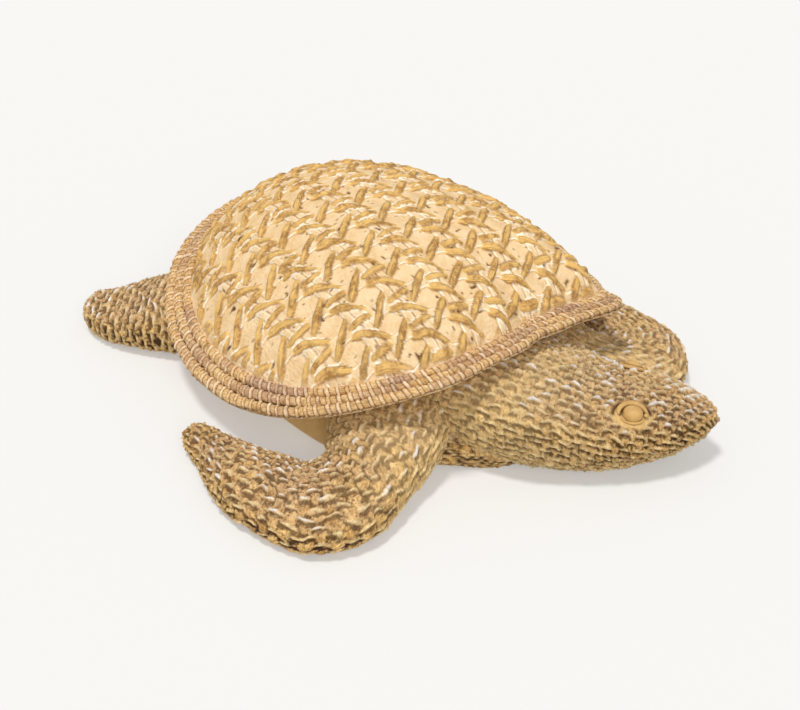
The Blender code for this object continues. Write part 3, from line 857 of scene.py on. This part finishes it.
def eye(name, angle, sunk, material):
    """An eyeball with its upper lid, its lower lid and a bead at its front corner."""
    centre, ahead, above, out = eye_axes(angle)

    def put(piece, px, py, pz, groove):
        points = centre + ahead * px[:, None] + above * py[:, None] + out * (pz - sunk)[:, None]
        finish(piece, points, {"groove": groove}, material)

    piece = sphere_grid(name, 24, 40)[0]
    x, y, z = vertex_places(piece).T
    # The ball's upper border, under the lid, is darker: dark paint and painted shade in the crease
    put(piece, x * EYE_BALL[0], y * EYE_BALL[1], z * EYE_BALL[2] - EYE_BALL_DEPTH,
        smoothstep(0.62, 0.25, z) * smoothstep(-0.35, 0.1, y))
    piece = sphere_grid(name + "_bead", 12, 16)[0]
    places = vertex_places(piece)
    px, py, pz = (places * BEAD_SIZE + BEAD_PLACE).T
    # Painted shade on the bead's side against the head
    put(piece, px, py, pz, smoothstep(0.2, -0.4, places[:, 2]))
    for part, length, height, thick, lift, start, end, dark in EYE_LIDS:
        piece, ring, side = sphere_grid(f"{name}_{part}", LID_RINGS, LID_SIDES)
        turn = radians(start) + radians(end - start) * ring / LID_RINGS
        body = np.sqrt(np.clip(1 - (2 * ring / LID_RINGS - 1) ** 2, 0, 1)) ** 0.6 * thick
        section = 2 * pi * side / LID_SIDES
        reach = body * np.cos(section)
        # The upper lid gets dark paint and painted shade on its side against the head
        put(piece, (length + reach) * np.cos(turn), (height + reach) * np.sin(turn),
            lift + 0.9 * body * np.sin(section), smoothstep(0.0, -0.7, np.sin(section)) * dark)


def skin_by_eyes(base):
    """Where the head's skin is smooth, creased and streaked pale: round each eye."""
    plain, crease, streak = (np.zeros(base.shape[:2]) for _ in range(3))
    rough, broken = noise(base, 4.0, 301), smoothstep(-0.35, 0.1, noise(base, 2.2, 302))
    ends = 10.0 + 2.5 * noise(base, 5.0, 303)
    for name, angle, sunk in EYES:
        centre, ahead, above, out = eye_axes(angle)
        x, y = (base - centre) @ ahead, (base - centre) @ above
        away = np.linalg.norm(base - centre, axis=-1)
        size, turn = np.hypot(x / 1.25, y), np.arctan2(y, x / 1.25)
        bare = smoothstep(7.0, 5.6, np.hypot(x / 1.2, np.where(y > 0, y, y * 1.15)))
        plain = np.maximum(plain, bare * (away < 12))
        rings = np.maximum(smoothstep(0.7, 0.2, np.abs(size - 3.5)), smoothstep(1.0, 0.4, np.abs(size - 5.6)))
        rings *= smoothstep(-1.5, 0.5, y)
        crease = np.maximum(crease, rings * (away < 12))
        rays = smoothstep(0.55, 0.95, np.cos(turn * 9 + 1.6 * rough)) * broken
        rays *= smoothstep(6.0, 6.8, size) * smoothstep(ends, ends - 2, size)
        streak = np.maximum(streak, rays * (y > 1.5) * (away < 14))
    return plain, crease, streak


def belly_plain(base):
    """Where the belly is smooth: behind the front flippers."""
    flat = np.zeros(base.shape[:2])
    return smoothstep(52, 44, base[..., 0]), flat, flat


def mirrored(rows):
    """The rows of a limb on the other side of the turtle."""
    return tuple((x1, -y1, x0, -y0, z, above, below) for x0, y0, x1, y1, z, above, below in rows)


skin, smooth_skin = skin_material(), smooth_material()
rope_finish, cane_finish = rope_material(), cane_material()
carapace(cane_finish)
for row, name in enumerate(("outer_rope", "middle_rope", "inner_rope")):
    rope(name, row, rope_finish, 60 + 10 * row)
limb("head", HEAD, 290, 260, (2.65, 2.4, 1.20), skin, 100, 0.12, relief=1.45, reach=0.76,
     smooth=skin_by_eyes, painted_light_reach=0.78)
limb("right_flipper", RIGHT_FLIPPER, 360, 220, (3.7, 2.8, 1.0), skin, 120, 0.10, relief=1.0, reach=0.62,
     scratches=0.24)
limb("left_flipper", LEFT_FLIPPER, 260, 170, (3.5, 2.8, 1.0), skin, 140, 0.08, relief=1.0, reach=0.66,
     scratches=0.22, painted_light_reach=0.6)
for name, rows, seed, floor in (("right_hind_flipper", HIND_FLIPPER, 160, 0.06),
                                ("left_hind_flipper", mirrored(HIND_FLIPPER), 180, 0.04)):
    limb(name, rows, 160, 140, (3.4, 3.0, 1.0), skin, seed, floor, relief=1.05, along_dashes=False,
         painted_light_reach=0.12)
limb("tail", TAIL, 60, 50, (3.0, 2.8, 1.0), skin, 200, 0.02)
limb("belly", BELLY, 150, 260, (3.2, 3.2, 1.0), skin, 220, 0.0, relief=0.9, reach=0.7, smooth=belly_plain)
for name, angle, sunk in EYES:
    eye(name, angle, sunk, smooth_skin)


# Floor, light and camera
def studio():
    """Pale floor that gives off part of its own light, soft sky and two soft suns."""
    bpy.ops.mesh.primitive_plane_add(size=FLOOR_SIZE)
    floor = bpy.context.object
    floor.name = floor.data.name = "floor"
    paper, _, shader = new_material("paper", 0.9)
    shader.inputs["Base Color"].default_value = linear(*FLOOR_COLOUR)
    shader.inputs["Emission Color"].default_value = FLOOR_GLOW
    shader.inputs["Emission Strength"].default_value = FLOOR_GLOW_STRENGTH
    floor.data.materials.append(paper)
    world = bpy.context.scene.world or bpy.data.worlds.new("studio")
    bpy.context.scene.world = world
    world.use_nodes = True
    background = world.node_tree.nodes["Background"]
    background.inputs["Color"].default_value = SKY_COLOUR
    background.inputs["Strength"].default_value = SKY_STRENGTH
    for name, towards, energy, spread in LAMPS:
        bpy.ops.object.light_add(type="SUN")
        lamp = bpy.context.object
        lamp.name = name
        lamp.data.energy = energy
        lamp.data.angle = radians(spread)
        lamp.rotation_euler = Vector(towards).to_track_quat("-Z", "Y").to_euler()


def camera():
    """The photo's own view."""
    azimuth, elevation = radians(CAMERA_AZIMUTH), radians(CAMERA_ELEVATION)
    back = Vector((sin(azimuth) * cos(elevation), -cos(azimuth) * cos(elevation), sin(elevation)))
    bpy.ops.object.camera_add(location=Vector(CAMERA_TARGET) + back * CAMERA_DISTANCE)
    made = bpy.context.object
    made.data.lens = CAMERA_LENS
    made.data.sensor_width = CAMERA_SENSOR
    made.rotation_euler = (-back).to_track_quat("-Z", "Y").to_euler()
    bpy.context.scene.camera = made


studio()
camera()
bpy.context.scene.view_settings.view_transform = "Standard"
